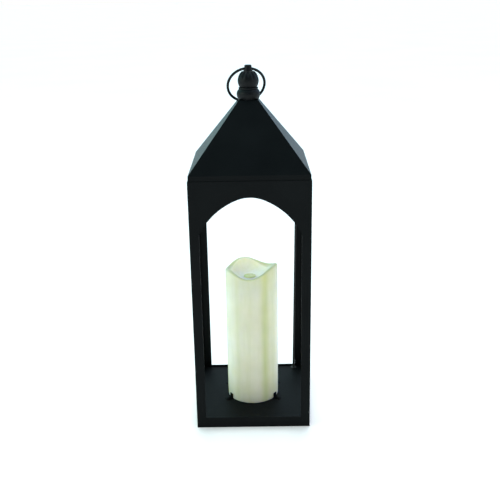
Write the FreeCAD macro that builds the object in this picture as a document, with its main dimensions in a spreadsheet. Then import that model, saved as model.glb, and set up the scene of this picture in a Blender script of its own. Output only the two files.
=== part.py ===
"""Garden lantern with a solar-charged LED candle, as an assembly of separate parts.

Square sheet-steel body with one arched opening in each side, a pyramid roof with a finial and
a carrying ring, a floor tray with a flameless pillar candle, and the solar electronics in the
roof.  Millimetres, +Z up, origin at the middle of the footprint, on the ground, front at -Y.
"""
import FreeCAD, Part
import math
import os
from types import SimpleNamespace

import Sketcher

V = FreeCAD.Vector
X_AXIS, Y_AXIS, Z_AXIS = V(1, 0, 0), V(0, 1, 0), V(0, 0, 1)

# ---------------------------------------------------------------- driving dimensions
SIZES = {
    # body: four arched panels of folded sheet
    "side": 150.0, "sheet": 1.0, "body_top": 337.0, "stile": 12.0, "rail": 15.0,
    "floor_level": 12.5,
    "arch_spring": 270.0, "arch_top": 316.7, "crown_radius": 44.0, "haunch_radius": 90.0,
    "crown_reach": 17.0, "crown_drop": 3.42, "foot_flange": 10.0,
    # floor tray and ceiling plate
    "tray_depth": 10.0, "ceiling": 322.0, "ceiling_lip": 9.0,
    # roof
    "skirt_low": 327.0, "eave": 343.7, "crown": 424.0, "crown_half": 12.4, "slope_wall": 1.26,
    # finial, from the crown up
    "shank_radius": 2.5, "bore_gap": 0.1, "base_foot": 12.4, "base_belly": 14.7, "base_neck": 11.2,
    "base_height": 13.0, "base_belly_rise": 7.15, "base_low_arc": 12.26, "base_high_arc": 6.64,
    "collar_radius": 12.0, "collar_height": 1.8, "onion_foot": 10.6, "onion_belly": 13.2, "onion_top": 8.2,
    "onion_rise": 8.7, "onion_height": 19.2, "onion_low_arc": 15.86, "onion_high_arc": 13.53,
    "eye_foot": 7.4, "eye_shoulder": 5.5, "eye_radius": 5.2, "eye_tip": 4.4, "eye_height": 8.0,
    "eye_cap": 0.7, "shoulder_rise": 0.9, "neck_rise": 1.8, "eye_hole": 2.6, "eye_level": 461.6,
    "shank_low": 414.0, "nut_flat": 8.0, "nut_height": 4.0,
    "washer_radius": 5.0, "washer_height": 1.0,
    # carrying ring
    "ring_radius": 23.4, "ring_wire": 1.65, "ring_seat": 0.2,
    # solar panel on the rear roof face, distances along the slope
    "panel_width": 58.0, "panel_length": 50.0, "panel_depth": 4.0, "panel_rim": 3.0,
    "panel_floor": 1.5, "cell_thickness": 1.2, "window_thickness": 1.0, "panel_up": 38.0,
    "panel_play": 0.2, "spigot_radius": 5.0, "spigot_reach": 3.0, "spigot_drill": 8.0,
    "wire_bore": 2.0,
    # electronics box on the ceiling plate
    "box_length": 80.0, "box_width": 58.0, "box_height": 23.0, "box_wall": 2.0, "box_shift": 8.0,
    "post_radius": 3.2, "post_x": 35.0, "post_y": 25.0, "box_screw": 1.25, "screw_head": 2.5,
    "head_height": 1.6, "screw_grip": 9.0, "cover_thickness": 3.0, "cover_margin": 4.0,
    # battery bay and its sliding door
    "cell_radius": 7.1, "cell_length": 48.8, "nub_radius": 2.75, "nub_length": 1.4,
    "cell_lift": 1.0, "cell_shift": 0.6,
    "bay_y": -3.0, "bay_length": 54.0, "bay_width": 17.0, "bay_relief": 2.0, "door_length": 58.0,
    "door_flange": 20.8, "door_face": 17.8, "groove_gap": 0.1, "lip": 1.0, "groove": 1.5,
    "contact_width": 12.0, "contact_height": 12.0, "contact_sheet": 0.5, "spring_height": 1.7,
    "spring_radius": 5.0, "grip_length": 1.2, "grip_width": 11.8, "grip_height": 0.6,
    "grip_end": 5.0, "grip_pitch": 2.4,
    # circuit board and slide switch
    "board_length": 56.0, "board_width": 20.0, "board_thickness": 1.6, "board_y": 19.0,
    "board_level": 328.2, "switch_x": 20.0, "switch_length": 8.6, "switch_width": 4.4,
    "switch_height": 4.6, "lever_length": 2.0, "lever_width": 1.5, "lever_low": 318.0,
    "slider_length": 3.4, "slider_width": 2.4, "slider_height": 1.3, "switch_lip": 0.5,
    "switch_travel": 2.0, "switch_gap": 0.1, "standoff_radius": 2.5, "standoff_x": 24.0,
    # lead, its gland and its grommets
    "lead_radius": 1.5, "lead_gap": 0.05, "gland_radius": 3.2, "gland_length": 5.0,
    "grommet_hole": 3.0, "grommet_flange": 4.2, "grommet_lip": 1.2,
    # candle
    "candle_radius": 35.3, "candle_wall": 3.5, "candle_high": 204.0,
    "rim_front": 193.0, "rim_middle": 196.5, "rim_front_arc": 240.0, "rim_rear_arc": 72.0,
    "rim_tool": 4.0, "plug_height": 10.0, "plug_gap": 0.1, "plug_recess": 4.6,
    "candle_screw": 1.5, "candle_screw_ring": 22.0, "candle_screw_grip": 9.0,
    "basin_edge": 190.0, "basin_middle": 186.5, "basin_thickness": 2.0, "lens_radius": 8.0,
    "lens_height": 1.6, "lens_skirt": 3.8, "lens_arc": 20.8, "lens_shift": -2.0,
    "led_radius": 2.5, "led_flange": 2.9, "led_height": 8.6, "led_rim": 1.0,
    "led_board_radius": 15.0, "led_board_level": 172.0, "boss_ring": 12.0, "boss_radius": 2.0,
    "boss_sink": 1.0,
    # candle clips
    "clip_width": 6.0, "clip_height": 7.0, "clip_gap": 0.1, "clip_foot": 9.0, "rivet_radius": 1.6,
    "rivet_head": 3.2, "rivet_height": 2.0, "rivet_arc": 3.56, "rivet_tail": 2.8,
    "rivet_tail_height": 1.0, "rivet_in": 5.0,
}
CLIP_ANGLE = 32.5          # degrees between the X axis and each of the four candle clips
CANDLE_SCREW_ANGLES = (90.0, 210.0, 330.0)
RING_LEAN = 25.5           # degrees that the resting ring leans back from straight down
RING_TWIST = 10.5          # degrees that its plane is turned about Z, right side back
RING_SWAY = -2.1           # degrees that it hangs to the left of its eye
OVERCUT = 1.0              # mm that a cutting tool runs past the material, so no skin is left
GRIP_RIBS = 4              # raised ribs under the battery door's right-hand end
ARC_SHARE = 0.45           # share of a run's length that the arc at each of its ends takes up

doc = FreeCAD.newDocument("solar_lantern")
sheet = doc.addObject("Spreadsheet::Sheet", "sizes")


class Length:
    """A number together with the sheet formula that gives it."""

    def __init__(self, number, formula=None):
        self.number = float(number)
        self.formula = formula or repr(float(number))

    def __float__(self):
        return self.number

    def __add__(self, other):
        other = as_length(other)
        return Length(self.number + other.number, f"({self.formula} + {other.formula})")

    def __sub__(self, other):
        other = as_length(other)
        return Length(self.number - other.number, f"({self.formula} - {other.formula})")

    def __mul__(self, factor):
        return Length(self.number * factor, f"({self.formula} * {factor})")

    def __truediv__(self, divisor):
        return Length(self.number / divisor, f"({self.formula} / {divisor})")

    def __neg__(self):
        return Length(-self.number, f"(0 - {self.formula})")


def as_length(value):
    return value if isinstance(value, Length) else Length(value)


d = SimpleNamespace()
for row, (alias, number) in enumerate(SIZES.items(), start=1):
    sheet.set(f"A{row}", alias)
    sheet.set(f"B{row}", str(number))
    sheet.setAlias(f"B{row}", alias)
    setattr(d, alias, Length(number, f"sizes.{alias}"))
doc.recompute()

half = d.side / 2
inner = half - d.sheet                 # inside faces of the four panels
floor_top = d.floor_level
slope = math.degrees(math.atan2(SIZES["crown"] - SIZES["eave"],
                                float(inner) - SIZES["crown_half"]))
parts = []


# ---------------------------------------------------------------- helpers
def bind(thing, prop, value):
    thing.setExpression(prop, as_length(value).formula)


def move(thing, x=0, y=0, z=0):
    for axis, value in zip("xyz", (x, y, z)):
        bind(thing, f"Placement.Base.{axis}", value)
    return thing


def keep(thing, label):
    """Name a finished sub-part: its Label is its file's name."""
    thing.Label = label
    parts.append(thing)
    return thing


def block(name, length, width, height, x=0, y=0, z=0):
    """Box centred on (x, y) that stands on level z."""
    box = doc.addObject("Part::Box", name)
    for prop, value in (("Length", length), ("Width", width), ("Height", height)):
        bind(box, prop, value)
    return move(box, as_length(x) - as_length(length) / 2, as_length(y) - as_length(width) / 2, z)


def rod(name, radius, height, x=0, y=0, z=0, along=Z_AXIS):
    """Cylinder whose base centre is (x, y, z)."""
    cylinder = doc.addObject("Part::Cylinder", name)
    bind(cylinder, "Radius", radius)
    bind(cylinder, "Height", height)
    cylinder.Placement.Rotation = FreeCAD.Rotation(Z_AXIS, along)
    return move(cylinder, x, y, z)


def fuse(name, *solids):
    joined = doc.addObject("Part::MultiFuse", name)
    joined.Shapes = list(solids)
    joined.Refine = True
    return joined


def cut(name, base, *tools):
    result = doc.addObject("Part::Cut", name)
    result.Base = base
    result.Tool = tools[0] if len(tools) == 1 else fuse(name + "_tools", *tools)
    return result


def group(name, *solids):
    """Separate solids that share one node."""
    compound = doc.addObject("Part::Compound", name)
    compound.Links = list(solids)
    return compound


def ring_point(radius, degrees):
    """(x, y) at an angle on a circle about the axis, bound to its radius."""
    angle = math.radians(degrees)
    return radius * math.cos(angle), radius * math.sin(angle)


def body_plane(body, role):
    for feature in body.Origin.OriginFeatures:
        if feature.Role == role:
            return feature
    raise ValueError(role)


def new_sketch(body, role):
    sketch = body.newObject("Sketcher::SketchObject", body.Name + "_sketch")
    sketch.AttachmentSupport = (body_plane(body, role), "")
    sketch.MapMode = "FlatFace"
    return sketch


def pin_vertex(sketch, edge, vertex, x, y):
    """Hold one end of an edge at (x, y) from the sketch's origin."""
    for kind, axis, value in (("DistanceX", -2, as_length(x)), ("DistanceY", -1, as_length(y))):
        if value.number == 0:
            sketch.addConstraint(Sketcher.Constraint("PointOnObject", edge, vertex, axis))
            continue
        index = sketch.addConstraint(Sketcher.Constraint(kind, -1, 1, edge, vertex, value.number))
        sketch.setExpression(f"Constraints[{index}]", value.formula)


def arc_between(start, end, radius):
    """Anticlockwise arc: it bulges right of the way from start to end, or left if below zero."""
    if radius < 0:
        start, end = end, start
    chord = end - start
    side = V(chord.y, -chord.x, 0).normalize()
    sagitta = abs(radius) - math.sqrt(max(radius ** 2 - (chord.Length / 2) ** 2, 0))
    return Part.Arc(start, (start + end) * 0.5 + side * sagitta, end)


def draw_outline(sketch, outline):
    """Closed outline of (x, y) corners; a third value makes an arc of that radius to the corner."""
    corners = [V(float(corner[0]), float(corner[1]), 0) for corner in outline]
    first = sketch.GeometryCount
    ends = []
    for index, corner in enumerate(outline):
        start, end = corners[index - 1], corners[index]
        if len(corner) == 2:
            sketch.addGeometry(Part.LineSegment(start, end))
            ends.append((1, 2))
            continue
        radius = as_length(corner[2]).number
        sketch.addGeometry(arc_between(start, end, radius))
        ends.append((1, 2) if radius > 0 else (2, 1))
    for index, corner in enumerate(outline):
        edge = first + index
        following = (index + 1) % len(outline)
        sketch.addConstraint(Sketcher.Constraint(
            "Coincident", edge, ends[index][1], first + following, ends[following][0]))
        pin_vertex(sketch, edge, ends[index][1], corner[0], corner[1])
        if len(corner) == 3:
            radius = as_length(corner[2])
            size = Length(abs(radius.number), f"abs({radius.formula})")
            dimension = sketch.addConstraint(Sketcher.Constraint("Radius", edge, size.number))
            sketch.setExpression(f"Constraints[{dimension}]", size.formula)


def pad(body, role, outline, length, reverse=False):
    sketch = new_sketch(body, role)
    draw_outline(sketch, outline)
    feature = body.newObject("PartDesign::Pad", body.Name + "_pad")
    feature.Profile = sketch
    feature.Reversed = reverse
    bind(feature, "Length", length)
    return feature


def turned(name, outline, label=None):
    """Solid of revolution about Z from an outline of (radius, height) corners."""
    body = doc.addObject("PartDesign::Body", name)
    sketch = new_sketch(body, "XZ_Plane")
    draw_outline(sketch, outline)
    feature = body.newObject("PartDesign::Revolution", name + "_turn")
    feature.Profile = sketch
    feature.ReferenceAxis = (sketch, ["V_Axis"])
    feature.Angle = 360.0
    if label:
        keep(body, label)
    return body


# ---------------------------------------------------------------- body panels
def arched_panel(name, half_width, flange_half, turn):
    """One side: bottom rail, two stiles and a three-centred arch, with a folded foot flange."""
    body = doc.addObject("PartDesign::Body", name)
    opening = half - d.stile
    low = d.arch_top - d.crown_drop
    pad(body, "XZ_Plane",
        [(-half_width, 0), (half_width, 0), (half_width, d.body_top), (-half_width, d.body_top)],
        d.sheet, reverse=True)
    sketch = new_sketch(body, "XZ_Plane")
    draw_outline(sketch, [
        (-opening, d.rail), (opening, d.rail), (opening, d.arch_spring),
        (d.crown_reach, low, d.haunch_radius), (-d.crown_reach, low, d.crown_radius),
        (-opening, d.arch_spring, d.haunch_radius)])
    doc.recompute()
    solid = body.Shape.Volume
    window = body.newObject("PartDesign::Pocket", name + "_opening")
    window.Profile = sketch
    window.Type = "ThroughAll"
    window.Midplane = True
    doc.recompute()
    assert body.Shape.Volume < solid * 0.6, name + " has no opening"
    pad(body, "XY_Plane",
        [(-flange_half, 0), (flange_half, 0), (flange_half, d.foot_flange),
         (-flange_half, d.foot_flange)], d.sheet)
    body.Placement.Rotation = FreeCAD.Rotation(Z_AXIS, turn)
    angle = math.radians(turn)
    move(body, half * round(math.sin(angle)), half * round(-math.cos(angle)))
    return keep(body, name)


def make_body():
    fold = half - d.foot_flange
    arched_panel("front_frame", half, inner, 0)
    arched_panel("right_frame", inner, fold, 90)
    arched_panel("rear_frame", half, inner, 180)
    arched_panel("left_frame", inner, fold, 270)


def make_floor():
    """Inverted tray just below the bottom rails' top edges, drilled for the candle."""
    under = floor_top - d.sheet
    clear = inner - d.sheet
    drill = d.sheet + OVERCUT * 2
    tools = [block("tray_hollow", clear * 2, clear * 2, d.tray_depth, 0, 0, under - d.tray_depth)]
    for number, angle in enumerate(clip_angles(), start=1):
        x, y = ring_point(d.candle_radius + d.rivet_in, angle)
        tools.append(rod(f"rivet_hole_{number}", d.rivet_radius, drill, x, y, under - OVERCUT))
    for number, angle in enumerate(CANDLE_SCREW_ANGLES, start=1):
        x, y = ring_point(d.candle_screw_ring, angle)
        tools.append(rod(f"tray_screw_hole_{number}", d.candle_screw, drill, x, y, under - OVERCUT))
    tools.append(rod("tray_middle_hole", d.grommet_hole, drill, 0, 0, under - OVERCUT))
    tools.append(rod("tray_lead_hole", d.grommet_hole, drill, *lead_at(floor_top), under - OVERCUT))
    tray = block("tray_block", inner * 2, inner * 2, d.tray_depth, 0, 0, floor_top - d.tray_depth)
    keep(cut("floor_tray", tray, *tools), "floor_tray")


def clip_angles():
    return CLIP_ANGLE, 180 - CLIP_ANGLE, 180 + CLIP_ANGLE, 360 - CLIP_ANGLE


def make_ceiling():
    """Shallow tray, lip up, that closes the roof and carries the electronics."""
    outer = inner - d.sheet
    clear = outer - d.sheet
    top = d.ceiling + d.sheet
    low = d.ceiling - OVERCUT
    drill = d.sheet + OVERCUT * 2
    tools = [
        block("ceiling_hollow", clear * 2, clear * 2, d.ceiling_lip, 0, 0, top),
        block("ceiling_bay", d.bay_length + d.bay_relief, d.bay_width + d.bay_relief, drill,
              0, d.bay_y, low),
        block("ceiling_slot", d.switch_length, d.switch_width, drill,
              d.switch_x, d.board_y, low),
        rod("ceiling_lead_hole", d.grommet_hole, drill, *lead_at(top), low),
    ]
    for number, (x, y) in enumerate(post_places(), start=1):
        tools.append(rod(f"ceiling_screw_{number}", d.box_screw, drill, x, y, low))
    plate = block("ceiling_block", outer * 2, outer * 2, d.ceiling_lip, 0, 0, d.ceiling)
    keep(cut("ceiling_plate", plate, *tools), "ceiling_plate")


# ---------------------------------------------------------------- roof
def frustum(name, low_half, high_half, low, high):
    """Square frustum between two levels, from a wedge turned upright."""
    wedge = doc.addObject("Part::Wedge", name)
    for prop, value in (("Xmin", -low_half), ("Xmax", low_half), ("Zmin", -low_half),
                        ("Zmax", low_half), ("X2min", -high_half), ("X2max", high_half),
                        ("Z2min", -high_half), ("Z2max", high_half), ("Ymin", as_length(0)),
                        ("Ymax", high - low)):
        bind(wedge, prop, value)
    wedge.Placement.Rotation = FreeCAD.Rotation(X_AXIS, 90)
    return move(wedge, 0, 0, low)


def slope_placement(up, out):
    """Placement on the rear roof face: local Z is its outward normal, local Y runs down it."""
    tilt = math.radians(slope)
    base = V(0, float(inner) - up * math.cos(tilt) + out * math.sin(tilt),
             float(d.eave) + up * math.sin(tilt) + out * math.cos(tilt))
    return FreeCAD.Placement(base, FreeCAD.Rotation(X_AXIS, -slope))


def make_roof():
    """Pyramid shell with an upright skirt that plugs into the top of the body."""
    inside = inner - d.sheet
    lean = float(d.slope_wall) - float(d.sheet)
    rise = math.tan(math.radians(slope))
    start = d.eave - lean * rise
    crown_inside = d.crown_half + float(d.sheet) / rise - d.slope_wall
    shell = fuse("roof_outside",
                 frustum("roof_pyramid", inner, d.crown_half, d.eave, d.crown),
                 block("roof_skirt", inner * 2, inner * 2, d.eave - d.skirt_low, 0, 0, d.skirt_low))
    spigot_hole = doc.addObject("Part::Cylinder", "roof_spigot_hole")
    bind(spigot_hole, "Radius", d.spigot_radius)
    bind(spigot_hole, "Height", d.spigot_drill)
    spigot_hole.Placement = slope_placement(float(d.panel_up), -float(d.spigot_drill) / 2)
    roof = cut("roof_shell", shell,
               frustum("roof_hollow", inside, crown_inside, start, d.crown - d.sheet),
               block("skirt_hollow", inside * 2, inside * 2, start - d.skirt_low + OVERCUT,
                     0, 0, d.skirt_low - OVERCUT),
               rod("roof_stud_hole", d.shank_radius + d.bore_gap, d.sheet + OVERCUT * 2,
                   0, 0, d.crown - d.sheet - OVERCUT),
               spigot_hole)
    keep(roof, "roof_shell")


def make_panel():
    """Solar panel: moulded bezel with a wire spigot, cell laminate and clear window."""
    here = slope_placement(float(d.panel_up), 0)
    bezel = cut(
        "panel_bezel",
        fuse("bezel_solid", block("bezel_block", d.panel_width, d.panel_length, d.panel_depth),
             rod("bezel_spigot", d.spigot_radius, d.spigot_reach, 0, 0, -d.spigot_reach)),
        block("bezel_pocket", d.panel_width - d.panel_rim * 2, d.panel_length - d.panel_rim * 2,
              d.panel_depth, 0, 0, d.panel_floor),
        rod("bezel_bore", d.wire_bore, d.spigot_reach + d.panel_floor + OVERCUT * 2,
            0, 0, -d.spigot_reach - OVERCUT))
    play = d.panel_rim * 2 + d.panel_play
    cells = block("cells", d.panel_width - play, d.panel_length - play, d.cell_thickness,
                  0, 0, d.panel_floor)
    window = block("window", d.panel_width - play, d.panel_length - play, d.window_thickness,
                   0, 0, d.panel_floor + d.cell_thickness)
    for solid, label in ((bezel, "panel_bezel"), (group("cells_node", cells), "solar_cells"),
                         (group("window_node", window), "panel_window")):
        solid.Placement = here
        keep(solid, label)


# ---------------------------------------------------------------- finial and ring
def make_finial():
    """Base, collar and onion threaded on the eye's shank and held by a nut inside the roof."""
    bore = d.shank_radius + d.bore_gap
    base_top = d.crown + d.base_height
    collar_top = base_top + d.collar_height
    belly = d.crown + d.base_belly_rise
    turned("finial_base_body", [
        (bore, d.crown), (d.base_foot, d.crown), (d.base_belly, belly, d.base_low_arc),
        (d.base_neck, base_top, d.base_high_arc), (bore, base_top)], "finial_base")
    turned("finial_collar_body", [
        (bore, base_top), (d.collar_radius, base_top),
        (d.collar_radius, collar_top, d.collar_height), (bore, collar_top)], "finial_collar")
    onion_top = collar_top + d.onion_height
    turned("finial_onion_body", [
        (bore, collar_top), (d.onion_foot, collar_top),
        (d.onion_belly, collar_top + d.onion_rise, d.onion_low_arc),
        (d.onion_top, onion_top, d.onion_high_arc), (bore, onion_top)], "finial_onion")
    eye_top = onion_top + d.eye_height
    eye = turned("eye_turning", [
        (0, d.shank_low), (d.shank_radius, d.shank_low), (d.shank_radius, onion_top),
        (d.eye_foot, onion_top), (d.eye_shoulder, onion_top + d.shoulder_rise),
        (d.eye_radius, onion_top + d.neck_rise),
        (d.eye_tip, eye_top - d.eye_cap), (d.eye_tip - d.eye_cap, eye_top), (0, eye_top)])
    across = FreeCAD.Rotation(Z_AXIS, RING_TWIST).multVec(X_AXIS)
    start = across * -float(half)
    hole = rod("eye_bore", d.eye_hole, d.side, start.x, start.y, d.eye_level, across)
    keep(cut("finial_eye", eye, hole), "finial_eye")
    under = d.crown - d.sheet
    washer = cut("finial_washer",
                 rod("washer_disc", d.washer_radius, d.washer_height,
                     0, 0, under - d.washer_height),
                 rod("washer_hole", bore, d.washer_height + OVERCUT * 2,
                     0, 0, under - d.washer_height - OVERCUT))
    keep(washer, "finial_washer")
    hexagon = doc.addObject("Part::Prism", "nut_hexagon")
    hexagon.Polygon = 6
    bind(hexagon, "Circumradius", d.nut_flat / math.sqrt(3))
    bind(hexagon, "Height", d.nut_height)
    nut_low = under - d.washer_height - d.nut_height
    move(hexagon, 0, 0, nut_low)
    nut = cut("finial_nut", hexagon,
              rod("nut_thread", d.shank_radius, d.nut_height + OVERCUT * 2,
                  0, 0, nut_low - OVERCUT))
    keep(nut, "finial_nut")


def make_ring():
    """Wire ring through the eye, leaning back on the rear roof face, turned and hung to the left."""
    ring = doc.addObject("Part::Torus", "carry_ring")
    bind(ring, "Radius1", d.ring_radius)
    bind(ring, "Radius2", d.ring_wire)
    turn = FreeCAD.Rotation(Z_AXIS, RING_TWIST) * FreeCAD.Rotation(X_AXIS, RING_LEAN)
    sway = FreeCAD.Rotation(Y_AXIS, -RING_SWAY)
    hang = sway.multVec(-Z_AXIS) * float(d.ring_radius) + Z_AXIS * float(d.ring_seat)
    ring.Placement = FreeCAD.Placement(V(0, 0, float(d.eye_level)) + turn.multVec(hang),
                                       turn * FreeCAD.Rotation(X_AXIS, -90))
    keep(ring, "carry_ring")


# ---------------------------------------------------------------- electronics
def post_places():
    """Screw posts of the electronics box, as (x, y)."""
    return [(d.post_x * sx, d.box_shift + d.post_y * sy) for sx in (-1, 1) for sy in (-1, 1)]


def make_box():
    """Moulded box, open below, with screw posts and board standoffs, and its glands."""
    low = d.ceiling + d.sheet
    roof_of_box = d.box_height - d.box_wall
    tub = cut("box_tub",
              block("box_block", d.box_length, d.box_width, d.box_height, 0, d.box_shift, low),
              block("box_hollow", d.box_length - d.box_wall * 2, d.box_width - d.box_wall * 2,
                    roof_of_box + OVERCUT, 0, d.box_shift, low - OVERCUT))
    posts, pilots = [], []
    for number, (x, y) in enumerate(post_places(), start=1):
        posts.append(rod(f"box_post_{number}", d.post_radius, roof_of_box, x, y, low))
        pilots.append(rod(f"box_pilot_{number}", d.box_screw, d.screw_grip + OVERCUT,
                          x, y, low - OVERCUT))
    board_top = d.board_level + d.board_thickness
    for side in (-1, 1):
        posts.append(rod(f"box_standoff_{side + 2}", d.standoff_radius,
                         low + roof_of_box - board_top, d.standoff_x * side, d.board_y, board_top))
    keep(cut("control_box", fuse("box_solid", tub, *posts), *pilots), "control_box")

    outlet = lead_points()[0]
    gland = cut("lead_gland",
                rod("gland_tube", d.gland_radius, d.gland_length, *outlet, X_AXIS),
                rod("gland_bore", d.lead_radius + d.lead_gap, d.gland_length + OVERCUT * 2,
                    outlet[0] - OVERCUT, outlet[1], outlet[2], X_AXIS))
    keep(gland, "lead_gland")

    cover_low = d.ceiling - d.cover_thickness
    screws = []
    for number, (x, y) in enumerate(post_places(), start=1):
        shank = d.cover_thickness + d.sheet + d.screw_grip
        screws.append(fuse(f"box_screw_{number}",
                           rod(f"box_shank_{number}", d.box_screw, shank, x, y, cover_low),
                           rod(f"box_head_{number}", d.screw_head, d.head_height,
                               x, y, cover_low - d.head_height)))
    keep(group("box_screws", *screws), "box_screws")


def make_cover():
    """Cover plate below the ceiling with a T-slot for the battery door, and the door itself."""
    low = d.ceiling - d.cover_thickness
    length = d.box_length + d.cover_margin * 2
    width = d.box_width + d.cover_margin * 2
    slot_start = -(d.door_length / 2) - d.groove_gap
    slot_length = length / 2 - slot_start + OVERCUT
    slot_x = slot_start + slot_length / 2
    gap = d.groove_gap * 2
    drill = d.cover_thickness + OVERCUT * 2
    tools = [
        block("cover_face_slot", slot_length, d.door_face + gap, d.lip + OVERCUT,
              slot_x, d.bay_y, low - OVERCUT),
        block("cover_groove", slot_length, d.door_flange + gap, d.groove,
              slot_x, d.bay_y, low + d.lip),
        block("cover_bay", d.bay_length, d.bay_width, drill, 0, d.bay_y, low - OVERCUT),
        block("cover_switch", d.lever_length + d.switch_travel + gap, d.lever_width + gap,
              drill, d.switch_x + d.switch_travel / 2, d.board_y, low - OVERCUT),
    ]
    for number, (x, y) in enumerate(post_places(), start=1):
        tools.append(rod(f"cover_screw_{number}", d.box_screw, drill, x, y, low - OVERCUT))
    plate = block("cover_block", length, width, d.cover_thickness, 0, d.box_shift, low)
    keep(cut("box_cover", plate, *tools), "box_cover")

    grips = [block(f"door_grip_{number}", d.grip_length, d.grip_width, d.grip_height,
                   d.door_length / 2 - d.grip_end - d.grip_pitch * number, d.bay_y,
                   low - d.grip_height)
             for number in range(GRIP_RIBS)]
    door = fuse("battery_door",
                block("door_face_block", d.door_length, d.door_face, d.lip + d.groove_gap,
                      0, d.bay_y, low),
                block("door_flange_block", d.door_length, d.door_flange, d.groove - gap,
                      0, d.bay_y, low + d.lip + d.groove_gap),
                *grips)
    keep(door, "battery_door")


def make_battery():
    """One AA cell along X with a pressed contact at each end."""
    axis = d.ceiling + d.sheet + d.cell_lift + d.cell_radius
    start = -(d.cell_length / 2) - d.cell_shift
    cell = fuse("battery_cell",
                rod("cell_can", d.cell_radius, d.cell_length, start, d.bay_y, axis, X_AXIS),
                rod("cell_nub", d.nub_radius, d.nub_length, start + d.cell_length, d.bay_y, axis,
                    X_AXIS))
    keep(cell, "battery_cell")
    low = axis - d.contact_height / 2
    spring = doc.addObject("Part::Cone", "contact_spring")
    bind(spring, "Radius1", d.spring_radius)
    bind(spring, "Radius2", d.nub_radius)
    bind(spring, "Height", d.spring_height)
    spring.Placement.Rotation = FreeCAD.Rotation(Z_AXIS, X_AXIS)
    move(spring, start - d.spring_height, d.bay_y, axis)
    minus_x = start - d.spring_height - d.contact_sheet / 2
    minus = fuse("negative_contact", spring,
                 block("minus_plate", d.contact_sheet, d.contact_width, d.contact_height,
                       minus_x, d.bay_y, low))
    keep(minus, "negative_contact")
    plus_x = start + d.cell_length + d.nub_length + d.contact_sheet / 2
    plus = block("plus_plate", d.contact_sheet, d.contact_width, d.contact_height,
                 plus_x, d.bay_y, low)
    keep(plus, "positive_contact")


def make_board():
    """Circuit board on its standoffs with the slide switch soldered beneath it."""
    board = block("circuit_board", d.board_length, d.board_width, d.board_thickness,
                  0, d.board_y, d.board_level)
    keep(board, "circuit_board")
    low = d.board_level - d.switch_height
    gap = d.switch_gap * 2
    middle = d.switch_x + d.switch_travel / 2
    housing = cut("switch_body",
                  block("switch_block", d.switch_length, d.switch_width, d.switch_height,
                        middle, d.board_y, low),
                  block("switch_cavity", d.slider_length + d.switch_travel + gap,
                        d.slider_width + gap, d.slider_height + gap,
                        middle, d.board_y, low + d.switch_lip),
                  block("switch_mouth", d.lever_length + d.switch_travel + gap,
                        d.lever_width + gap, d.switch_lip + OVERCUT * 2,
                        middle, d.board_y, low - OVERCUT))
    keep(housing, "switch_body")
    slider_low = low + d.switch_lip + d.switch_gap
    lever = fuse("switch_lever",
                 block("slider_block", d.slider_length, d.slider_width, d.slider_height,
                       d.switch_x, d.board_y, slider_low),
                 block("lever_block", d.lever_length, d.lever_width, slider_low - d.lever_low,
                       d.switch_x, d.board_y, d.lever_low))
    keep(lever, "switch_lever")


# ---------------------------------------------------------------- lead
def lead_points():
    """The lead's route by hand: box gland, rear right corner, floor, candle, LED board."""
    wall = float(d.box_length / 2)
    end = float(d.led_board_level)
    return [(wall, 14.0, 336.0), (55.0, 14.0, 336.0), (62.5, 36.0, 343.0), (64.4, 67.5, 343.0),
            (60.85, 67.5, 5.4), (54.0, 59.5, 5.4), (41.0, 44.0, 5.0), (20.0, 24.0, 4.8),
            (6.5, 7.5, 5.0), (0.0, 0.0, 5.0), (0.0, 0.0, 34.0), (3.0, -1.5, 78.0),
            (-2.5, 1.0, 125.0), (0.3, 0.0, 160.0), (0.3, 0.0, end)]


def lead_at(level):
    """(x, y) of the long straight run at a level."""
    high, low = (V(*point) for point in lead_points()[3:5])
    share = (high.z - float(level)) / (high.z - low.z)
    place = high + (low - high) * share
    return place.x, place.y


def rounded_route(points):
    """Straight runs joined by tangent arcs, each as large as its two runs allow."""
    points = [V(*point) for point in points]
    edges, radii = [], []
    here = points[0]
    for before, corner, after in zip(points, points[1:], points[2:]):
        back = (before - corner)
        ahead = (after - corner)
        turn = math.pi - back.getAngle(ahead)
        reach = ARC_SHARE * min(back.Length, ahead.Length)
        radii.append(reach / math.tan(turn / 2))
        back.normalize()
        ahead.normalize()
        start = corner + back * reach
        end = corner + ahead * reach
        bisector = (back + ahead).normalize()
        to_centre = math.hypot(radii[-1], reach)
        middle = corner + bisector * (to_centre - radii[-1])
        edges.append(Part.LineSegment(here, start).toShape())
        edges.append(Part.Arc(start, middle, end).toShape())
        here = end
    edges.append(Part.LineSegment(here, points[-1]).toShape())
    return Part.Wire(edges), radii


def make_lead():
    """Two-core lead from the electronics box to the candle, down the rear right corner."""
    route, radii = rounded_route(lead_points())
    first = (V(*lead_points()[1]) - V(*lead_points()[0])).normalize()
    section = Part.Wire(Part.Circle(V(*lead_points()[0]), first, float(d.lead_radius)).toShape())
    tube = route.makePipeShell([section], True, False)
    length = route.Length
    expected = math.pi * float(d.lead_radius) ** 2 * length
    print(f"lead: {length:.1f} mm long, volume ratio {tube.Volume / expected:.4f}")
    print("lead radii:", ", ".join(f"{radius:.1f}" for radius in radii))
    lead = doc.addObject("Part::Feature", "lamp_lead")
    lead.Shape = tube
    lead.Placement = FreeCAD.Placement()
    keep(lead, "lamp_lead")


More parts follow.
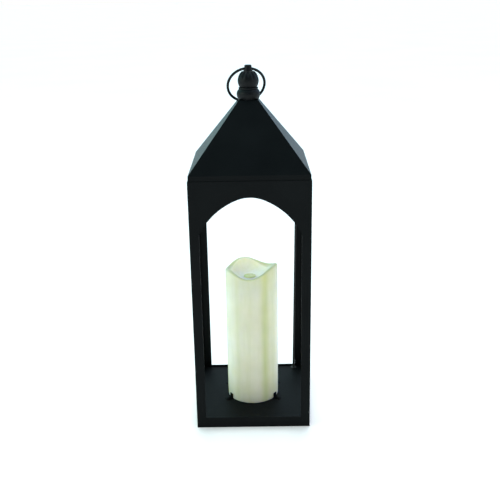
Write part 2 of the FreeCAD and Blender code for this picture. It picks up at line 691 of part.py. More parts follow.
def make_grommets():
    """Three rubber grommets for the lead: ceiling plate, floor tray and under the candle."""
    low, high = -(d.sheet / 2), d.sheet / 2
    bore = d.lead_radius + d.lead_gap
    places = (("roof_grommet", lead_at(d.ceiling + d.sheet), d.ceiling + high),
              ("floor_grommet", lead_at(floor_top), floor_top - high),
              ("candle_grommet", (0, 0), floor_top - high))
    for label, (x, y), level in places:
        grommet = turned(label + "_body", [
            (bore, low - d.grommet_lip), (d.grommet_flange, low - d.grommet_lip),
            (d.grommet_flange, low), (d.grommet_hole, low), (d.grommet_hole, high),
            (d.grommet_flange, high), (d.grommet_flange, high + d.grommet_lip),
            (bore, high + d.grommet_lip)], label)
        move(grommet, x, y, level)


# ---------------------------------------------------------------- candle
def make_candle():
    """Hollow wax pillar with a rim that dips to the front, on a plug screwed to the floor."""
    inside = d.candle_radius - d.candle_wall
    tube = turned("candle_tube", [
        (inside, floor_top), (d.candle_radius, floor_top), (d.candle_radius, d.candle_high),
        (inside, d.candle_high)])
    reach = d.candle_radius + d.rim_tool
    tool_top = d.candle_high + d.rim_tool
    dip = doc.addObject("PartDesign::Body", "rim_dip")
    profile = pad(dip, "YZ_Plane", [
        (-reach, d.rim_front), (0, d.rim_middle, -d.rim_front_arc),
        (d.candle_radius, d.candle_high, d.rim_rear_arc), (d.candle_radius, tool_top),
        (-reach, tool_top)], d.side)
    profile.Midplane = True
    keep(cut("candle_shell", tube, dip), "candle_shell")

    plug_radius = inside - d.plug_gap
    top = floor_top + d.plug_height
    plug = turned("plug_turning", [
        (d.plug_recess, floor_top), (plug_radius, floor_top), (plug_radius, top),
        (d.plug_recess, top)])
    pilots, screws = [], []
    under = floor_top - d.sheet
    for number, angle in enumerate(CANDLE_SCREW_ANGLES, start=1):
        x, y = ring_point(d.candle_screw_ring, angle)
        pilots.append(rod(f"plug_pilot_{number}", d.candle_screw, d.candle_screw_grip,
                          x, y, under))
        screws.append(fuse(f"candle_screw_{number}",
                           rod(f"candle_shank_{number}", d.candle_screw, d.candle_screw_grip,
                               x, y, under),
                           rod(f"candle_head_{number}", d.screw_head, d.head_height,
                               x, y, under - d.head_height)))
    keep(cut("candle_plug", plug, *pilots), "candle_plug")
    keep(group("candle_screws", *screws), "candle_screws")


def make_flame():
    """Dished basin near the top of the candle with the LED, its board and its lens."""
    basin_radius = d.candle_radius - d.candle_wall - d.plug_gap
    hole = d.lens_radius + d.plug_gap
    low = d.basin_middle - d.basin_thickness
    basin = turned("basin_turning", [
        (0, low), (hole, low), (basin_radius, d.basin_edge - d.basin_thickness),
        (basin_radius, d.basin_edge), (hole, d.basin_middle), (0, d.basin_middle)])
    board_top = d.led_board_level + d.board_thickness
    bosses = []
    for number, angle in enumerate(CANDLE_SCREW_ANGLES, start=1):
        x, y = ring_point(d.boss_ring, angle)
        bosses.append(rod(f"basin_boss_{number}", d.boss_radius,
                          d.basin_middle - d.boss_sink - board_top, x, y, board_top))
    bore = rod("lens_hole", hole, d.basin_thickness + OVERCUT * 2, d.lens_shift, 0, low - OVERCUT)
    keep(cut("flame_basin", fuse("basin_solid", basin, *bosses), bore), "flame_basin")
    lens = turned("lens_body", [
        (0, low), (d.lens_radius, low), (d.lens_radius, low + d.lens_skirt),
        (0, low + d.lens_skirt + d.lens_height, d.lens_arc)], "led_lens")
    move(lens, d.lens_shift)
    board = rod("led_board", d.led_board_radius, d.board_thickness, 0, 0, d.led_board_level)
    keep(board, "led_board")
    top = board_top + d.led_height
    turned("led_body", [
        (0, board_top), (d.led_flange, board_top), (d.led_flange, board_top + d.led_rim),
        (d.led_radius, board_top + d.led_rim), (d.led_radius, top - d.led_radius),
        (0, top, d.led_radius)], "led_bulb")


def make_clips():
    """Four riveted angle clips round the foot of the candle."""
    near = d.candle_radius + d.clip_gap
    rivets = []
    for number, angle in enumerate(clip_angles(), start=1):
        clip = cut(
            f"clip_{number}",
            fuse(f"clip_{number}_fold",
                 block(f"clip_{number}_foot", d.clip_foot, d.clip_width, d.sheet,
                       near + d.clip_foot / 2, 0, floor_top),
                 block(f"clip_{number}_tab", d.sheet, d.clip_width, d.clip_height,
                       near + d.sheet / 2, 0, floor_top)),
            rod(f"clip_{number}_hole", d.rivet_radius, d.sheet + OVERCUT * 2,
                d.candle_radius + d.rivet_in, 0, floor_top - OVERCUT))
        clip.Placement = FreeCAD.Placement(V(), FreeCAD.Rotation(Z_AXIS, angle))
        keep(clip, f"candle_clip_{number}")
        x, y = ring_point(d.candle_radius + d.rivet_in, angle)
        under = floor_top - d.sheet
        over = floor_top + d.sheet
        rivet = turned(f"rivet_{number}", [
            (0, under - d.rivet_tail_height), (d.rivet_tail, under - d.rivet_tail_height),
            (d.rivet_tail, under), (d.rivet_radius, under), (d.rivet_radius, over),
            (d.rivet_head, over), (0, over + d.rivet_height, d.rivet_arc)])
        rivets.append(move(rivet, x, y))
    keep(group("clip_rivets", *rivets), "clip_rivets")


# ---------------------------------------------------------------- build, check, write
def main():
    make_body()
    make_floor()
    make_ceiling()
    make_roof()
    make_panel()
    make_finial()
    make_ring()
    make_box()
    make_cover()
    make_battery()
    make_board()
    make_lead()
    make_grommets()
    make_candle()
    make_flame()
    make_clips()
    doc.recompute()
    for thing in doc.Objects:
        assert not {"Invalid", "Error"} & set(thing.State), f"{thing.Name}: {thing.State}"
    os.makedirs("parts", exist_ok=True)
    for part in parts:
        assert not part.Shape.isNull() and part.Shape.isValid(), part.Label
        part.Shape.exportStep(f"parts/{part.Label}.step")
    print(len(parts), "parts written")


main()
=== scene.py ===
"""Solar lantern: a black powder-coated steel lantern with a wax LED candle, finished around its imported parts.

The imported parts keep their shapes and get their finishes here. The wax candle and the onion of the
finial are made again with the detail that their plain solids leave out.
"""

import bpy
import numpy as np
from mathutils import Matrix, Vector


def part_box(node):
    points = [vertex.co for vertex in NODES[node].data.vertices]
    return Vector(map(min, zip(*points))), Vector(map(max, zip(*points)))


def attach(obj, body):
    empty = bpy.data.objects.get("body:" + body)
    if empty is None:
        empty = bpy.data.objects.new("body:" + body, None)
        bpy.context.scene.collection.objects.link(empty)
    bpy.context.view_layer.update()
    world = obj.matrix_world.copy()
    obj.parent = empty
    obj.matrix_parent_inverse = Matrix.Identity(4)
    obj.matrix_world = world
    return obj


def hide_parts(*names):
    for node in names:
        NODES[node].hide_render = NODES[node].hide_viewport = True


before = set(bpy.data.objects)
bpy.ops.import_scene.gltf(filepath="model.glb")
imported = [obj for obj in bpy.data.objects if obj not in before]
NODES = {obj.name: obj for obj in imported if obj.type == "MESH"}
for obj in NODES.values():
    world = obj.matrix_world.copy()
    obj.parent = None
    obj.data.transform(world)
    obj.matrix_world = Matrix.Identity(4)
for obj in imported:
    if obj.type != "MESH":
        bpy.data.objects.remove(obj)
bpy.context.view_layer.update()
MM = 0.001

# The camera: it stands in front, level with a point above the roof, and looks down on the middle.
CAMERA_TARGET = Vector((-1.32, 0.0, 224.56)) * MM
CAMERA_DISTANCE = 1.00526
CAMERA_AZIMUTH = np.radians(0.39)
CAMERA_HEIGHT_ANGLE = np.radians(19.013)
CAMERA_ROLL = np.radians(-0.98)
CAMERA_LENS = 54.16
CAMERA_SENSOR = 36.0

# The wax candle: sizes in millimetres and heights above the lantern's foot. A wavy line is a mean and
# then a pair for each wave round the candle. The fold is its height, start, turn and half width.
# The vault is the hidden underside of the bowl: its edge is so far in from the wall and below the cup's
# top, and its foot, where it meets the wall, is lower still.
CANDLE_STEPS = 288
CANDLE_WALL = 3.5
CANDLE_RIM_WAVES = (200.5, (1.64, 0.51), (1.93, -2.26), (1.5, -2.84), (-0.26, 0.95))
CANDLE_LOBES = (0.0, (0.0, 0.12), (0.1, 0.16), (-0.14, 0.1), (0.1, -0.1), (0.0, 0.08))
RIM_ROUNDING = 2.4
BOWL_EDGE_WAVES = (26.6, (-2.0, 0.5), (-2.2, 0.0))
BOWL_DROP_WAVES = (3.2, (2.0, -1.4), (0.8, 0.0))
BOWL_FOLD = (1.1, np.radians(190), np.radians(-50), np.radians(13))
CUP_SHIFT = -2.0
CUP_RADIUS = 8.15
CUP_COLLAR = 0.95
CUP_TOP = 186.9
CUP_FLOOR = 184.35
CUP_UNDERSIDE = 183.1
CUP_SKIRT = 1.2
CUP_FILLET = 0.5
CENTRE_SHARE = 0.3
BOWL_THICKNESS = 3.0
VAULT_EDGE = (1.0, 4.0)
VAULT_FOOT = 5.5
FOOT_INNER_EDGE = 0.5
FOOT_OUTER_EDGE = 0.8
WALL_INSET = 0.25
WALL_TWIST = 0.0035
BOWL_STRAIGHT_SHARE = 0.35
BOWL_CURVE_POWER = 2.6
INSIDE_ROWS, WALL_ROWS, ROUNDING_ROWS, SHOULDER_ROWS, BOWL_ROWS, COLLAR_ROWS = 10, 72, 8, 10, 30, 9

# The wax's colours: its wall, painted shade on the top of the wall over a run of millimetres and along
# the lip, painted light on the bowl, the cup, and strips of painted shade that run down the wall, each
# an angle, a half width and a strength.
WAX_WALL, WAX_SHADE_STRIP, WAX_BOWL_PAINTED_LIGHT, WAX_CUP = "f1e9e1", "d7d8b0", "fffffc", "eeefbf"
WAX_RIM_SHADE, WAX_RIM_SHADE_RUN, WAX_LIP_SHADE = "d8d9d4", 45.0, "c9cdb4"
# Painted shade: darker upright strips down the wall, standing in for shade bands and dark reflections of the
# posts.
WAX_SHADE_STRIPS = ((-60, 10, 1.0), (-36, 13, 0.5), (-96, 12, 0.12), (-124, 6, 0.3), (0, 6, 0.75),
              (14, 8, 0.4), (63, 12, 0.7), (101, 7, 0.4), (148, 11, 0.8), (184, 7, 0.75))

# The onion of the finial: the height of its belly, the radii of the arcs below and above it, and the
# flutes that run down from its neck, in millimetres.
ONION_STEPS = 240
ONION_ROWS = 72
ONION_BELLY_RISE = 8.7
ONION_LOW_ARC = 15.86
ONION_HIGH_ARC = 13.53
ONION_FLUTES = 12
ONION_FLUTE_DEPTH = 2.4
ONION_FLUTE_RUN = 11.0
ONION_FLUTE_POWER = 1.3

# The solar panel lies on the rear roof face, and its strips run across that face. All in metres from here.
ROOF_SLOPE = np.arctan2(80.3, 61.6)
STRIP_PITCH, STRIP_GAP = 0.011, 0.0009
FINGER_PITCH, FINGER_WIDTH = 0.002, 0.00035
BUSBAR_WIDTH = 0.0012

# The battery cell's band and bare end, from its positive end, and the board's tracks and pads.
GOLD_BAND_END = 0.012
BARE_END = 0.0018
TRACK_PITCH, TRACK_WIDTH = 0.0025, 0.0005
PAD_PITCH, PAD_SPREAD, PAD_SHARE = 0.005, 0.6, 0.18

# The studio.
FLOOR_REACH = 40.0
FLOOR_DROP = 0.0002
SOFT_BOX_SIDE = 0.9
SURROUND_FRONT, SURROUND_REAR = 0.25, 1.25
SURROUND_LEFT_TINT, SURROUND_RIGHT_TINT = "beffff", "bedcff"
SKY_WAY, SKY_POWER, SKY_SPREAD, SKY_COLOUR = (0.0, 0.5, 1.0), 1.8, np.radians(60), (1.0, 1.0, 0.97)


def hex_rgb(code):
    """An sRGB hex colour as linear red, green, blue and alpha 1."""
    srgb = np.array([int(code[i:i + 2], 16) for i in (0, 2, 4)]) / 255
    linear = np.where(srgb <= 0.04045, srgb / 12.92, ((srgb + 0.055) / 1.055) ** 2.4)
    return (*linear.tolist(), 1.0)


def waves(turn, terms):
    """A closed wavy line: the mean, plus a_k cos(k t) + b_k sin(k t) for each pair (a_k, b_k)."""
    mean, *pairs = terms
    return mean + sum(a * np.cos(k * turn) + b * np.sin(k * turn) for k, (a, b) in enumerate(pairs, 1))


def grid_piece(name, points):
    """A mesh from points[row, turn, xyz] in millimetres, closed round each turn.

    Rows run so that the outward side is on the left of their way. The first and the last row are each
    closed by a fan of triangles to their own mean point.
    """
    rows, turns = points.shape[:2]
    index = np.arange(rows * turns).reshape(rows, turns)
    lower, upper = index[:-1], index[1:]
    quads = np.stack([lower, np.roll(lower, -1, 1), np.roll(upper, -1, 1), upper], -1).reshape(-1, 4)
    first, last = index[0], index[-1]
    first_fan = np.stack([np.roll(first, -1), first, np.full_like(first, rows * turns)], -1)
    last_fan = np.stack([last, np.roll(last, -1), np.full_like(last, rows * turns + 1)], -1)
    vertices = np.concatenate([points.reshape(-1, 3), points[[0, -1]].mean(1)])
    mesh = bpy.data.meshes.new(name)
    mesh.from_pydata((vertices * MM).tolist(), [],
                     quads.tolist() + first_fan.tolist() + last_fan.tolist())
    mesh.polygons.foreach_set("use_smooth", np.ones(len(mesh.polygons), bool))
    mesh.update()
    piece = bpy.data.objects.new(name, mesh)
    bpy.context.scene.collection.objects.link(piece)
    return piece


def make_candle():
    """The wax candle: a wall with a wavy melted rim, a shoulder, a bowl and a cup that holds the lens.

    Each turn angle has its own outline of (radius, height), from the middle of the cup's underside out,
    down the hidden inside, round the foot, up the wall, over the rim, down the bowl and over the collar
    round the lens to the cup's floor. The rim's height, the bowl's edge and its drop below the rim are
    waves of the turn angle, and one fold, a bell curve across the turn, runs down the bowl. Its per-point
    colour attribute holds the wall's colour. Over it, in this order and each by its own share, lie painted
    shade on the wall's top, painted shade in strips down the wall, painted light on the bowl, painted shade
    along the crest of the rim, and the cup's colour.
    """
    turn = np.linspace(0, 2 * np.pi, CANDLE_STEPS, endpoint=False)
    low, high = (np.array(corner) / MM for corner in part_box("candle_shell"))
    foot, outside = low[2], (high[0] - low[0]) / 2
    inside = outside - CANDLE_WALL
    rim = waves(turn, CANDLE_RIM_WAVES)
    edge = waves(turn, BOWL_EDGE_WAVES)
    drop = waves(turn, BOWL_DROP_WAVES)
    blank = np.zeros_like(turn)
    rows = []

    def row(radius, height, bowl=0.0, cup=0.0, inward=0.0):
        rows.append((radius + blank, height + blank, bowl + blank, cup + blank, inward + blank))

    def bell(middle, width):
        return np.exp(-((np.angle(np.exp(1j * (turn - middle))) / width) ** 2))

    row(CUP_RADIUS * CENTRE_SHARE, CUP_UNDERSIDE, inward=1.0)
    row(CUP_RADIUS + CUP_SKIRT, CUP_UNDERSIDE, inward=1.0)
    row(edge - BOWL_THICKNESS, CUP_TOP - BOWL_THICKNESS)
    row(inside - VAULT_EDGE[0], CUP_TOP - VAULT_EDGE[1])
    inside_top, inside_foot = CUP_TOP - VAULT_FOOT, foot + FOOT_INNER_EDGE
    row(inside, inside_top)
    for share in np.linspace(1 / INSIDE_ROWS, 1.0, INSIDE_ROWS):
        row(inside, inside_top + share * (inside_foot - inside_top))
    row(inside + FOOT_INNER_EDGE, foot)
    row(outside - FOOT_OUTER_EDGE, foot)
    row(outside - WALL_INSET, foot + WALL_INSET)
    wall_foot = foot + FOOT_OUTER_EDGE
    for share in np.linspace(0, 1, WALL_ROWS):
        height = wall_foot + share * (rim - RIM_ROUNDING - wall_foot)
        swell = waves(turn + WALL_TWIST * (height - foot), CANDLE_LOBES) * np.sin(np.pi * share) ** 0.5
        row(outside + swell - WALL_INSET, height)
    shoulder = outside - WALL_INSET - RIM_ROUNDING
    for lean in np.radians(np.linspace(8, 82, ROUNDING_ROWS)):
        row(shoulder + RIM_ROUNDING * np.cos(lean), rim - RIM_ROUNDING + RIM_ROUNDING * np.sin(lean),
            bowl=lean / np.pi)
    for share in np.linspace(0, 1, SHOULDER_ROWS)[1:]:
        smooth = share * share * (3 - 2 * share)
        row(shoulder + share * (edge - shoulder), rim - drop * smooth, bowl=0.5 + 0.5 * share)
    collar = CUP_RADIUS + CUP_COLLAR
    fold_height, fold_start, fold_turn, fold_width = BOWL_FOLD
    for share in np.linspace(1, 0, BOWL_ROWS)[1:]:
        slope = BOWL_STRAIGHT_SHARE * share + (1 - BOWL_STRAIGHT_SHARE) * share**BOWL_CURVE_POWER
        fold = fold_height * np.sin(np.pi * share) * bell(fold_start + fold_turn * share, fold_width)
        row(collar + CUP_COLLAR + share * (edge - collar - CUP_COLLAR),
            CUP_TOP + (rim - drop - CUP_TOP) * slope + fold, bowl=1.0, inward=1 - share**2)
    for lean in np.radians(np.linspace(20, 180, COLLAR_ROWS)):
        row(collar + CUP_COLLAR * np.cos(lean), CUP_TOP + CUP_COLLAR * np.sin(lean), bowl=1.0, inward=1.0)
    row(CUP_RADIUS, CUP_FLOOR + CUP_FILLET, cup=1.0, inward=1.0)
    row(CUP_RADIUS - CUP_FILLET, CUP_FLOOR, cup=1.0, inward=1.0)
    row(CUP_RADIUS * CENTRE_SHARE, CUP_FLOOR, cup=1.0, inward=1.0)
    radius, height, bowl, cup, inward = (np.array(part) for part in zip(*rows))
    points = np.stack([radius * np.cos(turn) + CUP_SHIFT * inward, radius * np.sin(turn), height], -1)
    candle = grid_piece("wax_candle", points)
    # Painted shade: the wall's colour darkens over its top run of millimetres, up to the rim.
    rim_shade = np.clip(1 - (rim - height) / WAX_RIM_SHADE_RUN, 0, 1)
    # Painted shade: darker upright strips down the wall at the listed angles.
    shade_strips = sum(bell(np.radians(angle), np.radians(width)) * strength
                for angle, width, strength in WAX_SHADE_STRIPS)
    shade_strips = np.clip(shade_strips, 0, 1) + 0 * radius
    # Painted shade: a darker line along the crest of the rim, where it turns over.
    lip_shade = np.sin(np.pi * bowl)
    tint = np.array(hex_rgb(WAX_WALL)) + 0 * points[..., :1]
    # The bowl's near-white colour is painted light that brightens the shaded bowl. The rim, lip and strip
    # colours are painted shade.
    for share, colour in ((rim_shade, WAX_RIM_SHADE), (shade_strips, WAX_SHADE_STRIP), (bowl, WAX_BOWL_PAINTED_LIGHT), (lip_shade, WAX_LIP_SHADE),
                          (cup, WAX_CUP)):
        tint = tint + share[..., None] * (np.array(hex_rgb(colour)) - tint)
    tint = np.concatenate([tint.reshape(-1, 4), np.tile(hex_rgb(WAX_CUP), (2, 1))])
    # The per-point colours hold the wall's tint together with the painted shade and painted light above.
    candle.data.attributes.new("wax_tint_and_painted_light", "FLOAT_COLOR", "POINT").data.foreach_set("color", tint.ravel())
    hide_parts("candle_shell", "flame_basin")
    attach(candle, "lantern")
    return candle


def make_onion():
    """The onion of the finial: a turned belly whose neck is fluted like a closed bud.

    Its radius is belly - R + sqrt(R^2 - dz^2), dz from the belly and R the arc's radius below or above
    it, less n flutes of 1 - |sin(n t / 2)|, t the turn, that deepen up their run to full depth at the top.
    """
    turn = np.linspace(0, 2 * np.pi, ONION_STEPS, endpoint=False)
    low, high = (np.array(corner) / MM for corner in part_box("finial_onion"))
    height = np.linspace(low[2], high[2], ONION_ROWS)[:, None] + 0 * turn
    off_belly = height - low[2] - ONION_BELLY_RISE
    arc = np.where(off_belly < 0, ONION_LOW_ARC, ONION_HIGH_ARC)
    rise = np.clip(1 - (high[2] - height) / ONION_FLUTE_RUN, 0, 1)
    flute = 1 - np.abs(np.sin(ONION_FLUTES * turn / 2))
    turned = (high[0] - low[0]) / 2 - arc + np.sqrt(arc**2 - off_belly**2)
    radius = turned - ONION_FLUTE_DEPTH * rise**ONION_FLUTE_POWER * flute
    points = np.stack([radius * np.cos(turn), radius * np.sin(turn), height], -1)
    onion = grid_piece("finial_bud", points)
    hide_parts("finial_onion")
    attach(onion, "lantern")
    return onion


def add(tree, kind, sockets=(), **settings):
    """Adds one shader node. sockets gives inputs by name or number: a value, or (node, output) to link."""
    node = tree.nodes.new("ShaderNode" + kind)
    for name, value in settings.items():
        setattr(node, name, value)
    for name, value in dict(sockets).items():
        if isinstance(value, tuple) and isinstance(value[0], bpy.types.Node):
            tree.links.new(value[0].outputs[value[1]], node.inputs[name])
        else:
            node.inputs[name].default_value = value
    return node


def finish(name, dark, light, mottle, rough, grain, relief, **shader):
    """A finish that every surface has at least: its colour drifts between two hexes over mottle metres, its
    roughness between two values, and its grain, grain metres across, stands relief metres high.

    Returns the material, and its tree with its coordinate, bump and shader nodes, to build on.
    """
    material = bpy.data.materials.new(name)
    material.use_nodes = True
    tree = material.node_tree
    tree.nodes.clear()
    place = add(tree, "TexCoord")
    drift = add(tree, "TexNoise", {"Vector": (place, "Object"), "Scale": 1 / mottle, "Detail": 4.0})
    tone = add(tree, "ValToRGB", {"Fac": (drift, "Fac")})
    tone.color_ramp.elements[0].position, tone.color_ramp.elements[1].position = 0.35, 0.65
    tone.color_ramp.elements[0].color, tone.color_ramp.elements[1].color = hex_rgb(dark), hex_rgb(light)
    speck = add(tree, "TexNoise", {"Vector": (place, "Object"), "Scale": 1 / grain, "Detail": 3.0})
    sheen = add(tree, "MapRange", {"Value": (speck, "Fac"), "From Min": 0.3, "From Max": 0.7,
                                   "To Min": rough[0], "To Max": rough[1]})
    bump = add(tree, "Bump", {"Height": (speck, "Fac"), "Distance": relief, "Strength": 1.0})
    base = add(tree, "BsdfPrincipled", {"Base Color": (tone, "Color"), "Roughness": (sheen, "Result"),
                                        "Normal": (bump, "Normal")})
    for socket, value in shader.items():
        base.inputs[socket.replace("_", " ")].default_value = value
    add(tree, "OutputMaterial", {"Surface": (base, "BSDF")})
    return material, {"tree": tree, "place": place, "bump": bump, "base": base}


def dress(material, *nodes):
    """Puts a finish on pieces, given as node names or objects."""
    for node in nodes:
        piece = NODES[node] if isinstance(node, str) else node
        piece.data.materials.clear()
        piece.data.materials.append(material)


def stripes(tree, value, pitch, width):
    """1 within half a width of each multiple of pitch, else 0, both in the value's own metres."""
    apart = add(tree, "Math", {0: value, 1: pitch / 2}, operation="PINGPONG")
    return add(tree, "Math", {0: (apart, "Value"), 1: width / 2}, operation="LESS_THAN"), "Value"


def paint_over(part, share, code):
    """Lays a colour over a finish's own, by share: a node and its output, from 0 to 1."""
    tree, base = part["tree"], part["base"]
    under = base.inputs["Base Color"].links[0].from_socket
    over = add(tree, "Mix", {0: share, 7: hex_rgb(code)}, data_type="RGBA")
    tree.links.new(under, over.inputs[6])
    tree.links.new(over.outputs[2], base.inputs["Base Color"])


def powder_coat(name, rough, reflection):
    """Black polyester powder coat baked on sheet steel: a satin skin with a fine orange peel, 6 mm across."""
    material, part = finish(name, "050708", "090c0d", 0.06, rough, 0.0016, 0.00004,
                            IOR=1.5, Specular_IOR_Level=reflection)
    tree = part["tree"]
    peel = add(tree, "TexNoise", {"Vector": (part["place"], "Object"), "Scale": 1 / 0.006, "Detail": 1.0})
    skin = add(tree, "Bump", {"Height": (peel, "Fac"), "Distance": 0.00006,
                              "Normal": (part["bump"], "Normal")})
    tree.links.new(skin.outputs["Normal"], part["base"].inputs["Normal"])
    return material


def wax():
    """Ivory paraffin wax, cast and dipped: pale and soft to light, with cloudy streaks that run down it,
    4 mm across and ten times as long, multiplied by the candle's per-point colours, which carry painted
    shade on the top of the wall, in strips down it and along the crest of the rim, and painted light in the
    bowl."""
    material, part = finish("ivory_paraffin_wax", "f2f2dc", "ffffee", 0.05, (0.36, 0.5), 0.004, 0.00005,
                            IOR=1.44, Subsurface_Weight=0.8, Subsurface_Scale=0.01)
    tree, base = part["tree"], part["base"]
    base.inputs["Subsurface Radius"].default_value = (1.0, 0.85, 0.45)
    long_way = add(tree, "Mapping", {"Vector": (part["place"], "Object"), "Scale": (1.0, 1.0, 0.1)})
    streaks = add(tree, "TexNoise", {"Vector": (long_way, "Vector"), "Scale": 1 / 0.004, "Detail": 2.0})
    clouds = add(tree, "MapRange", {"Value": (streaks, "Fac"), "From Min": 0.45, "From Max": 0.75,
                                    "To Max": 0.35})
    paint_over(part, (clouds, "Result"), "e9ebc9")
    # These per-point colours carry painted shade and painted light as well as the wax's tint.
    tint = add(tree, "Attribute", attribute_name="wax_tint_and_painted_light")
    tinted = add(tree, "Mix", {0: 1.0, 7: (tint, "Color")}, data_type="RGBA", blend_type="MULTIPLY")
    tree.links.new(base.inputs["Base Color"].links[0].from_socket, tinted.inputs[6])
    tree.links.new(tinted.outputs[2], base.inputs["Base Color"])
    return material


def silicon():
    """Laminated silicon: four blue strips 10 mm wide with dark gaps, silver fingers 2 mm apart drawn
    0.35 mm wide, twice their real width, and a busbar along the middle of each strip."""
    material, part = finish("silicon_strips_blue", "0b1434", "16264f", 0.004, (0.2, 0.3), 0.002, 0.00001)
    tree = part["tree"]
    low, high = (np.array(corner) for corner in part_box("solar_cells"))
    middle = (low + high) / 2
    down = np.array((0.0, np.cos(ROOF_SLOPE), -np.sin(ROOF_SLOPE)))
    along = add(tree, "VectorMath", {0: (part["place"], "Object"), 1: down.tolist()}, operation="DOT_PRODUCT")
    strip = add(tree, "Math", {0: (along, "Value"), 1: float(-middle @ down)}, operation="ADD")
    across = add(tree, "SeparateXYZ", {"Vector": (part["place"], "Object")})
    middles = add(tree, "Math", {0: (strip, "Value"), 1: STRIP_PITCH / 2}, operation="ADD")
    paint_over(part, stripes(tree, (across, "X"), FINGER_PITCH, FINGER_WIDTH), "8f98a8")
    paint_over(part, stripes(tree, (middles, "Value"), STRIP_PITCH, BUSBAR_WIDTH), "b4bac4")
    paint_over(part, stripes(tree, (strip, "Value"), STRIP_PITCH, STRIP_GAP), "07080c")
    return material


def cell_sleeve():
    """A shrink-film sleeve on a battery cell: plain green film, glossy, with a gold band near the positive
    end, and bare nickel beyond that end."""
    material, part = finish("battery_sleeve_green", "1f6b3d", "2b7d49", 0.02, (0.22, 0.3), 0.001, 0.00001)
    tree = part["tree"]
    positive_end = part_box("battery_cell")[1][0]
    across = add(tree, "SeparateXYZ", {"Vector": (part["place"], "Object")})
    from_end = add(tree, "Math", {0: float(positive_end), 1: (across, "X")}, operation="SUBTRACT")
    gold = add(tree, "Math", {0: (from_end, "Value"), 1: GOLD_BAND_END}, operation="LESS_THAN")
    paint_over(part, (gold, "Value"), "b58a3a")
    bare = add(tree, "Math", {0: (from_end, "Value"), 1: BARE_END}, operation="LESS_THAN")
    paint_over(part, (bare, "Value"), "cfcabc")
    tree.links.new(bare.outputs["Value"], part["base"].inputs["Metallic"])
    return material


def board_laminate():
    """Glass-fibre board: green solder mask over tracks 0.5 mm wide every 2.5 mm, with round tinned pads."""
    material, part = finish("board_green_mask", "0f4a26", "175c33", 0.006, (0.35, 0.5), 0.0006, 0.00002)
    tree = part["tree"]
    axes = add(tree, "SeparateXYZ", {"Vector": (part["place"], "Object")})
    paint_over(part, stripes(tree, (axes, "Y"), TRACK_PITCH, TRACK_WIDTH), "2c7a4a")
    pads = add(tree, "TexVoronoi", {"Vector": (part["place"], "Object"), "Scale": 1 / PAD_PITCH,
                                    "Randomness": PAD_SPREAD})
    pad = add(tree, "Math", {0: (pads, "Distance"), 1: PAD_SHARE}, operation="LESS_THAN")
    paint_over(part, (pad, "Value"), "c2c5c4")
    return material


def all_finishes():
    """One finish for each real material, and the pieces that it covers."""
    # Cast zinc, sprayed with black enamel: a little glossier and rounder in its grain than powder coat.
    cast = finish("cast_zinc_black_enamel", "050607", "090b0e", 0.01, (0.42, 0.52), 0.0012, 0.00005,
                  Specular_IOR_Level=0.15)[0]
    # Spring wire dipped in black lacquer, with runs along it.
    wire = finish("dipped_wire_black", "060708", "0b0d0e", 0.008, (0.35, 0.5), 0.0008, 0.00003,
                  Specular_IOR_Level=0.2)[0]
    # Zinc plate with a clear passivate: grey, with a faint crystal bloom 4 mm across.
    zinc = finish("zinc_plate_clear", "a9adaf", "c3c7c6", 0.004, (0.28, 0.42), 0.0006, 0.00002,
                  Metallic=1.0)[0]
    # Nickel plate on spring steel: warmer and brighter than zinc.
    nickel = finish("nickel_plate_bright", "b9b4a6", "cfcabc", 0.005, (0.18, 0.3), 0.0006, 0.00001,
                    Metallic=1.0)[0]
    # Black ABS out of a spark-eroded mould: an even matt grain under 1 mm across.
    abs_black = finish("abs_black_spark_texture", "101112", "18191a", 0.02, (0.45, 0.6), 0.0009, 0.00005)[0]
    # White ABS out of a polished mould.
    abs_white = finish("abs_white_satin", "dfe0dc", "e9eae6", 0.02, (0.35, 0.45), 0.0009, 0.00002)[0]
    # Clear epoxy, poured over the cells.
    window = finish("epoxy_window_clear", "f4f7f8", "ffffff", 0.03, (0.05, 0.1), 0.003, 0.00001,
                    Transmission_Weight=1.0, IOR=1.5)[0]
    # Moulded rubber and soft PVC: matt black with a bloom.
    rubber = finish("rubber_black_matt", "0c0c0c", "161616", 0.01, (0.6, 0.75), 0.001, 0.00004)[0]
    # Milky tinted resin over the light, so that its chip does not show.
    diffuser = finish("diffuser_resin_olive", "c3ca8b", "d3d99c", 0.004, (0.25, 0.35), 0.001, 0.00002,
                      Subsurface_Weight=0.5, Subsurface_Scale=0.003)[0]
    coat = powder_coat("powder_coat_black", (0.34, 0.46), 0.07)
    # The floor is out of the wiping cloth's reach, so dust leaves its coat duller.
    dull_coat = powder_coat("powder_coat_black_dusty", (0.5, 0.62), 0.06)
    dress(coat, "front_frame", "rear_frame", "left_frame", "right_frame", "ceiling_plate", "roof_shell")
    dress(dull_coat, "floor_tray", "clip_rivets", *(f"candle_clip_{number}" for number in range(1, 5)))
    dress(cast, "finial_base", "finial_collar", "finial_eye", ONION)
    dress(wire, "carry_ring")
    dress(zinc, "finial_washer", "finial_nut", "box_screws", "candle_screws")
    dress(nickel, "negative_contact", "positive_contact")
    dress(cell_sleeve(), "battery_cell")
    dress(abs_black, "panel_bezel", "control_box", "box_cover", "battery_door", "switch_body", "switch_lever")
    dress(silicon(), "solar_cells")
    dress(window, "panel_window")
    dress(board_laminate(), "circuit_board", "led_board")
    dress(rubber, "lamp_lead", "lead_gland", "roof_grommet", "floor_grommet", "candle_grommet")
    dress(wax(), CANDLE)
    dress(abs_white, "candle_plug")
    dress(diffuser, "led_lens", "led_bulb")


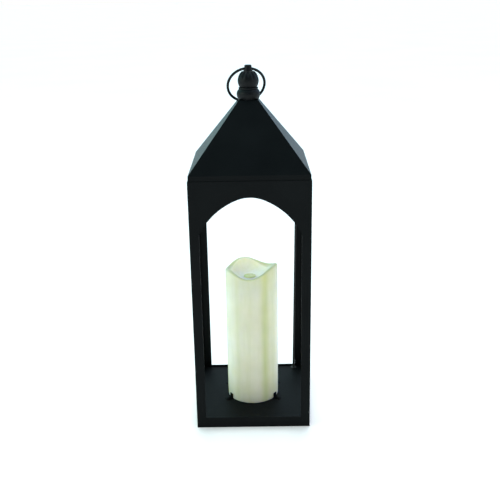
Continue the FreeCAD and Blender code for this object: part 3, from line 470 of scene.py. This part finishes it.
def make_camera():
    """The camera looks at its target along a line given by its two angles, then rolls about that line."""
    back = Vector((np.sin(CAMERA_AZIMUTH) * np.cos(CAMERA_HEIGHT_ANGLE),
                   -np.cos(CAMERA_AZIMUTH) * np.cos(CAMERA_HEIGHT_ANGLE), np.sin(CAMERA_HEIGHT_ANGLE)))
    turned = back.to_track_quat("Z", "Y").to_matrix().to_4x4() @ Matrix.Rotation(CAMERA_ROLL, 4, "Z")
    data = bpy.data.cameras.new("camera")
    data.lens, data.sensor_width = CAMERA_LENS, CAMERA_SENSOR
    camera = bpy.data.objects.new("camera", data)
    camera.matrix_world = Matrix.Translation(CAMERA_TARGET + back * CAMERA_DISTANCE) @ turned
    bpy.context.scene.collection.objects.link(camera)
    bpy.context.scene.camera = camera


def soft_box(name, place, power, tint, mirrored=True):
    """A square area light that faces the middle of the lantern, and may be kept out of reflections."""
    data = bpy.data.lights.new(name, "AREA")
    data.shape, data.size, data.energy, data.color = "SQUARE", SOFT_BOX_SIDE, power, hex_rgb(tint)[:3]
    light = bpy.data.objects.new(name, data)
    light.visible_glossy = mirrored
    away = Vector(place) - CAMERA_TARGET
    light.matrix_world = Matrix.Translation(place) @ away.to_track_quat("Z", "Y").to_matrix().to_4x4()
    bpy.context.scene.collection.objects.link(light)


def make_studio():
    """A white floor that runs out of sight, a white surround, three soft boxes and a wide sky above.

    The surround lights the lantern more from behind than from in front, and is tinted from side to side.
    """
    floor = finish("studio_floor_white", "fcf4f2", "fff8f6", 0.5, (0.6, 0.7), 0.01, 0.00001)[0]
    mesh = bpy.data.meshes.new("floor")
    corners = ((-1, -1), (1, -1), (1, 1), (-1, 1))
    mesh.from_pydata([(x * FLOOR_REACH, y * FLOOR_REACH, -FLOOR_DROP) for x, y in corners], [],
                     [(0, 1, 2, 3)])
    mesh.materials.append(floor)
    ground = bpy.data.objects.new("floor", mesh)
    bpy.context.scene.collection.objects.link(ground)
    world = bpy.data.worlds.new("studio")
    world.use_nodes = True
    tree = world.node_tree
    tree.nodes.clear()
    seen = add(tree, "Background", {"Color": (1.0, 1.0, 1.0, 1.0), "Strength": 1.0})
    way = add(tree, "TexCoord")
    split = add(tree, "SeparateXYZ", {"Vector": (way, "Generated")})
    depth = add(tree, "MapRange", {"Value": (split, "Y"), "From Min": -0.9, "From Max": 0.3,
                                   "To Min": SURROUND_FRONT, "To Max": SURROUND_REAR},
                interpolation_type="SMOOTHSTEP")
    side = add(tree, "MapRange", {"Value": (split, "X"), "From Min": -0.5, "From Max": 0.5, "To Min": 0.0,
                                  "To Max": 1.0})
    tint = add(tree, "ValToRGB", {"Fac": (side, "Result")})
    tint.color_ramp.elements[0].color = hex_rgb(SURROUND_LEFT_TINT)
    tint.color_ramp.elements[1].color = hex_rgb(SURROUND_RIGHT_TINT)
    lit = add(tree, "Background", {"Color": (tint, "Color"), "Strength": (depth, "Result")})
    ray = add(tree, "LightPath")
    both = add(tree, "MixShader", {0: (ray, "Is Camera Ray"), 1: (lit, "Background"),
                                   2: (seen, "Background")})
    add(tree, "OutputWorld", {"Surface": (both, "Shader")})
    bpy.context.scene.world = world
    soft_box("left_soft_box", (-1.5, -0.7, 0.9), 8.5, "fffff4")
    soft_box("front_soft_box", (0.1, -1.6, 1.35), 12.5, "fff2e6", mirrored=False)
    soft_box("right_soft_box", (1.5, -0.7, 0.9), 4.5, "fffbe8")
    sun = bpy.data.lights.new("rear_sky", "SUN")
    sun.energy, sun.angle, sun.color = SKY_POWER, SKY_SPREAD, SKY_COLOUR
    sky = bpy.data.objects.new("rear_sky", sun)
    sky.matrix_world = Vector(SKY_WAY).to_track_quat("Z", "Y").to_matrix().to_4x4()
    bpy.context.scene.collection.objects.link(sky)
    bpy.context.scene.view_settings.view_transform = "Standard"


CANDLE = make_candle()
ONION = make_onion()
all_finishes()
make_camera()
make_studio()
